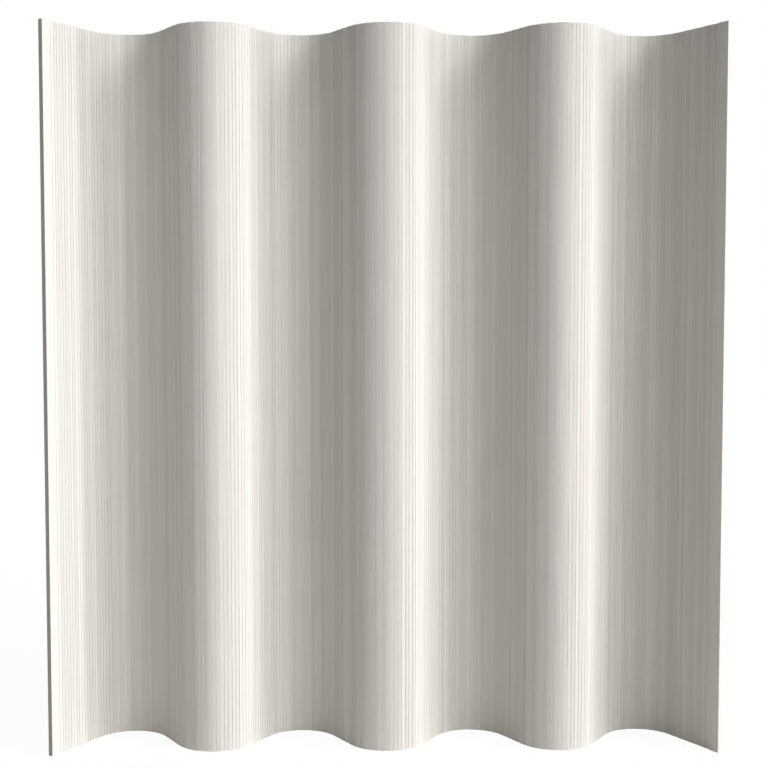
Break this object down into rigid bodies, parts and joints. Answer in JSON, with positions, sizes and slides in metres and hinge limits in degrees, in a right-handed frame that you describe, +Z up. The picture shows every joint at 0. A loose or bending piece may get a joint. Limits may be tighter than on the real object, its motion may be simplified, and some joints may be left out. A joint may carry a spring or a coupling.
{
  "type": "bamboo room divider",
  "caption": "Free-standing roll-up screen of narrow upright whitewashed bamboo slats, hinged edge to edge on hidden cords and set in a wave to divide a room.",
  "frame": {"origin": "middle of the screen's outline on the floor", "axes": "+Z up along the slats, +X along the screen to the right as seen from the front, +Y to the back"},
  "size_m": [1.8116, 0.2252, 1.95],
  "materials": {
    "bamboo": "whitewashed bamboo, matt",
    "cord": "braided polyester cord",
    "ferrule": "crimped, satin"
  },
  "bodies": {
    "left_end": {"left_stile": "bamboo", "left_ferrules": "ferrule", "left_plugs": "bamboo"},
    "group_01": {"slats_01": "bamboo"},
    "group_02": {"slats_02": "bamboo"},
    "group_03": {"slats_03": "bamboo"},
    "group_04": {"slats_04": "bamboo"},
    "group_05": {"slats_05": "bamboo"},
    "group_06": {"slats_06": "bamboo"},
    "group_07": {"slats_07": "bamboo"},
    "group_08": {"slats_08": "bamboo"},
    "group_09": {"slats_09": "bamboo"},
    "group_10": {"slats_10": "bamboo"},
    "group_11": {"slats_11": "bamboo"},
    "group_12": {"slats_12": "bamboo"},
    "group_13": {"slats_13": "bamboo"},
    "group_14": {"slats_14": "bamboo"},
    "group_15": {"slats_15": "bamboo"},
    "group_16": {"slats_16": "bamboo"},
    "group_17": {"slats_17": "bamboo"},
    "group_18": {"slats_18": "bamboo"},
    "group_19": {"slats_19": "bamboo"},
    "group_20": {"slats_20": "bamboo"},
    "group_21": {"slats_21": "bamboo"},
    "group_22": {"slats_22": "bamboo"},
    "group_23": {"slats_23": "bamboo"},
    "group_24": {"slats_24": "bamboo", "cord_1": "cord", "cord_2": "cord", "cord_3": "cord", "cord_4": "cord", "cord_5": "cord"},
    "group_25": {"slats_25": "bamboo"},
    "group_26": {"slats_26": "bamboo"},
    "group_27": {"slats_27": "bamboo"},
    "group_28": {"slats_28": "bamboo"},
    "group_29": {"slats_29": "bamboo"},
    "group_30": {"slats_30": "bamboo"},
    "group_31": {"slats_31": "bamboo"},
    "group_32": {"slats_32": "bamboo"},
    "group_33": {"slats_33": "bamboo"},
    "group_34": {"slats_34": "bamboo"},
    "group_35": {"slats_35": "bamboo"},
    "group_36": {"slats_36": "bamboo"},
    "group_37": {"slats_37": "bamboo"},
    "group_38": {"slats_38": "bamboo"},
    "group_39": {"slats_39": "bamboo"},
    "group_40": {"slats_40": "bamboo"},
    "group_41": {"slats_41": "bamboo"},
    "group_42": {"slats_42": "bamboo"},
    "group_43": {"slats_43": "bamboo"},
    "group_44": {"slats_44": "bamboo"},
    "group_45": {"slats_45": "bamboo"},
    "group_46": {"slats_46": "bamboo"},
    "right_end": {"right_stile": "bamboo", "right_ferrules": "ferrule", "right_plugs": "bamboo"}
  },
  "joints": [
    {"name": "left_stile_hinge", "type": "hinge", "parent": "group_01", "child": "left_end", "pos_m": [-0.88544, -0.08502, 0.975], "axis": [0, 0, 1], "range_deg": [-15, 15]},
    {"name": "hinge_01_02", "type": "hinge", "parent": "group_02", "child": "group_01", "pos_m": [-0.86307, -0.04853, 0.975], "axis": [0, 0, 1], "range_deg": [-15, 15]},
    {"name": "hinge_02_03", "type": "hinge", "parent": "group_03", "child": "group_02", "pos_m": [-0.83512, -0.00291, 0.975], "axis": [0, 0, 1], "range_deg": [-15, 15]},
    {"name": "hinge_03_04", "type": "hinge", "parent": "group_04", "child": "group_03", "pos_m": [-0.80717, 0.0427, 0.975], "axis": [0, 0, 1], "range_deg": [-15, 15]},
    {"name": "hinge_04_05", "type": "hinge", "parent": "group_05", "child": "group_04", "pos_m": [-0.77387, 0.08411, 0.975], "axis": [0, 0, 1], "range_deg": [-20.57, 9.43]},
    {"name": "hinge_05_06", "type": "hinge", "parent": "group_06", "child": "group_05", "pos_m": [-0.72563, 0.10599, 0.975], "axis": [0, 0, 1], "range_deg": [-20.57, 9.43]},
    {"name": "hinge_06_07", "type": "hinge", "parent": "group_07", "child": "group_06", "pos_m": [-0.67275, 0.10278, 0.975], "axis": [0, 0, 1], "range_deg": [-20.57, 9.43]},
    {"name": "hinge_07_08", "type": "hinge", "parent": "group_08", "child": "group_07", "pos_m": [-0.62751, 0.07523, 0.975], "axis": [0, 0, 1], "range_deg": [-20.57, 9.43]},
    {"name": "hinge_08_09", "type": "hinge", "parent": "group_09", "child": "group_08", "pos_m": [-0.59718, 0.03133, 0.975], "axis": [0, 0, 1], "range_deg": [-15, 15]},
    {"name": "hinge_09_10", "type": "hinge", "parent": "group_10", "child": "group_09", "pos_m": [-0.56923, -0.01429, 0.975], "axis": [0, 0, -1], "range_deg": [-15, 15]},
    {"name": "hinge_10_11", "type": "hinge", "parent": "group_11", "child": "group_10", "pos_m": [-0.53474, -0.05461, 0.975], "axis": [0, 0, -1], "range_deg": [-20.57, 9.43]},
    {"name": "hinge_11_12", "type": "hinge", "parent": "group_12", "child": "group_11", "pos_m": [-0.48566, -0.07455, 0.975], "axis": [0, 0, -1], "range_deg": [-20.57, 9.43]},
    {"name": "hinge_12_13", "type": "hinge", "parent": "group_13", "child": "group_12", "pos_m": [-0.43295, -0.06924, 0.975], "axis": [0, 0, -1], "range_deg": [-20.57, 9.43]},
    {"name": "hinge_13_14", "type": "hinge", "parent": "group_14", "child": "group_13", "pos_m": [-0.38884, -0.03991, 0.975], "axis": [0, 0, -1], "range_deg": [-20.57, 9.43]},
    {"name": "hinge_14_15", "type": "hinge", "parent": "group_15", "child": "group_14", "pos_m": [-0.35924, 0.00455, 0.975], "axis": [0, 0, -1], "range_deg": [-15, 15]},
    {"name": "hinge_15_16", "type": "hinge", "parent": "group_16", "child": "group_15", "pos_m": [-0.33129, 0.05017, 0.975], "axis": [0, 0, 1], "range_deg": [-15.53, 14.47]},
    {"name": "hinge_16_17", "type": "hinge", "parent": "group_17", "child": "group_16", "pos_m": [-0.2955, 0.08926, 0.975], "axis": [0, 0, 1], "range_deg": [-20.57, 9.43]},
    {"name": "hinge_17_18", "type": "hinge", "parent": "group_18", "child": "group_17", "pos_m": [-0.24566, 0.10724, 0.975], "axis": [0, 0, 1], "range_deg": [-20.57, 9.43]},
    {"name": "hinge_18_19", "type": "hinge", "parent": "group_19", "child": "group_18", "pos_m": [-0.19321, 0.09983, 0.975], "axis": [0, 0, 1], "range_deg": [-20.57, 9.43]},
    {"name": "hinge_19_20", "type": "hinge", "parent": "group_20", "child": "group_19", "pos_m": [-0.1503, 0.06877, 0.975], "axis": [0, 0, 1], "range_deg": [-20.57, 9.43]},
    {"name": "hinge_20_21", "type": "hinge", "parent": "group_21", "child": "group_20", "pos_m": [-0.12131, 0.02387, 0.975], "axis": [0, 0, 1], "range_deg": [-15, 15]},
    {"name": "hinge_21_22", "type": "hinge", "parent": "group_22", "child": "group_21", "pos_m": [-0.09335, -0.02175, 0.975], "axis": [0, 0, -1], "range_deg": [-17, 13]},
    {"name": "hinge_22_23", "type": "hinge", "parent": "group_23", "child": "group_22", "pos_m": [-0.05616, -0.05948, 0.975], "axis": [0, 0, -1], "range_deg": [-20.57, 9.43]},
    {"name": "hinge_23_24", "type": "hinge", "parent": "group_24", "child": "group_23", "pos_m": [-0.00565, -0.07545, 0.975], "axis": [0, 0, -1], "range_deg": [-20.57, 9.43]},
    {"name": "hinge_24_25", "type": "hinge", "parent": "group_24", "child": "group_25", "pos_m": [0.04646, -0.06597, 0.975], "axis": [0, 0, 1], "range_deg": [-20.57, 9.43], "deforming": ["cord_1", "cord_2", "cord_3", "cord_4", "cord_5"]},
    {"name": "hinge_25_26", "type": "hinge", "parent": "group_25", "child": "group_26", "pos_m": [0.08811, -0.03323, 0.975], "axis": [0, 0, 1], "range_deg": [-20.57, 9.43]},
    {"name": "hinge_26_27", "type": "hinge", "parent": "group_26", "child": "group_27", "pos_m": [0.11663, 0.01201, 0.975], "axis": [0, 0, 1], "range_deg": [-15, 15]},
    {"name": "hinge_27_28", "type": "hinge", "parent": "group_27", "child": "group_28", "pos_m": [0.14461, 0.05761, 0.975], "axis": [0, 0, -1], "range_deg": [-19.03, 10.97]},
    {"name": "hinge_28_29", "type": "hinge", "parent": "group_28", "child": "group_29", "pos_m": [0.18327, 0.09383, 0.975], "axis": [0, 0, -1], "range_deg": [-20.57, 9.43]},
    {"name": "hinge_29_30", "type": "hinge", "parent": "group_29", "child": "group_30", "pos_m": [0.23437, 0.10779, 0.975], "axis": [0, 0, -1], "range_deg": [-20.57, 9.43]},
    {"name": "hinge_30_31", "type": "hinge", "parent": "group_30", "child": "group_31", "pos_m": [0.28607, 0.09624, 0.975], "axis": [0, 0, -1], "range_deg": [-20.57, 9.43]},
    {"name": "hinge_31_32", "type": "hinge", "parent": "group_31", "child": "group_32", "pos_m": [0.32638, 0.06187, 0.975], "axis": [0, 0, -1], "range_deg": [-20.38, 9.62]},
    {"name": "hinge_32_33", "type": "hinge", "parent": "group_32", "child": "group_33", "pos_m": [0.35457, 0.0164, 0.975], "axis": [0, 0, -1], "range_deg": [-15, 15]},
    {"name": "hinge_33_34", "type": "hinge", "parent": "group_33", "child": "group_34", "pos_m": [0.38271, -0.02909, 0.975], "axis": [0, 0, 1], "range_deg": [-20.26, 9.74]},
    {"name": "hinge_34_35", "type": "hinge", "parent": "group_34", "child": "group_35", "pos_m": [0.42278, -0.06374, 0.975], "axis": [0, 0, 1], "range_deg": [-20.57, 9.43]},
    {"name": "hinge_35_36", "type": "hinge", "parent": "group_35", "child": "group_36", "pos_m": [0.4744, -0.07566, 0.975], "axis": [0, 0, 1], "range_deg": [-20.57, 9.43]},
    {"name": "hinge_36_37", "type": "hinge", "parent": "group_36", "child": "group_37", "pos_m": [0.5256, -0.06206, 0.975], "axis": [0, 0, 1], "range_deg": [-20.57, 9.43]},
    {"name": "hinge_37_38", "type": "hinge", "parent": "group_37", "child": "group_38", "pos_m": [0.5645, -0.02611, 0.975], "axis": [0, 0, 1], "range_deg": [-19.32, 10.68]},
    {"name": "hinge_38_39", "type": "hinge", "parent": "group_38", "child": "group_39", "pos_m": [0.5925, 0.01947, 0.975], "axis": [0, 0, -1], "range_deg": [-15, 15]},
    {"name": "hinge_39_40", "type": "hinge", "parent": "group_39", "child": "group_40", "pos_m": [0.62096, 0.06476, 0.975], "axis": [0, 0, -1], "range_deg": [-20.57, 9.43]},
    {"name": "hinge_40_41", "type": "hinge", "parent": "group_40", "child": "group_41", "pos_m": [0.66237, 0.0978, 0.975], "axis": [0, 0, -1], "range_deg": [-20.57, 9.43]},
    {"name": "hinge_41_42", "type": "hinge", "parent": "group_41", "child": "group_42", "pos_m": [0.71442, 0.10765, 0.975], "axis": [0, 0, -1], "range_deg": [-20.57, 9.43]},
    {"name": "hinge_42_43", "type": "hinge", "parent": "group_42", "child": "group_43", "pos_m": [0.76504, 0.09203, 0.975], "axis": [0, 0, -1], "range_deg": [-20.57, 9.43]},
    {"name": "hinge_43_44", "type": "hinge", "parent": "group_43", "child": "group_44", "pos_m": [0.80249, 0.05456, 0.975], "axis": [0, 0, -1], "range_deg": [-17.36, 12.64]},
    {"name": "hinge_44_45", "type": "hinge", "parent": "group_44", "child": "group_45", "pos_m": [0.83044, 0.00894, 0.975], "axis": [0, 0, -1], "range_deg": [-15, 15]},
    {"name": "hinge_45_46", "type": "hinge", "parent": "group_45", "child": "group_46", "pos_m": [0.8584, -0.03667, 0.975], "axis": [0, 0, -1], "range_deg": [-15, 15]},
    {"name": "right_stile_hinge", "type": "hinge", "parent": "group_46", "child": "right_end", "pos_m": [0.88076, -0.07317, 0.975], "axis": [0, 0, -1], "range_deg": [-15, 15]}
  ]
}
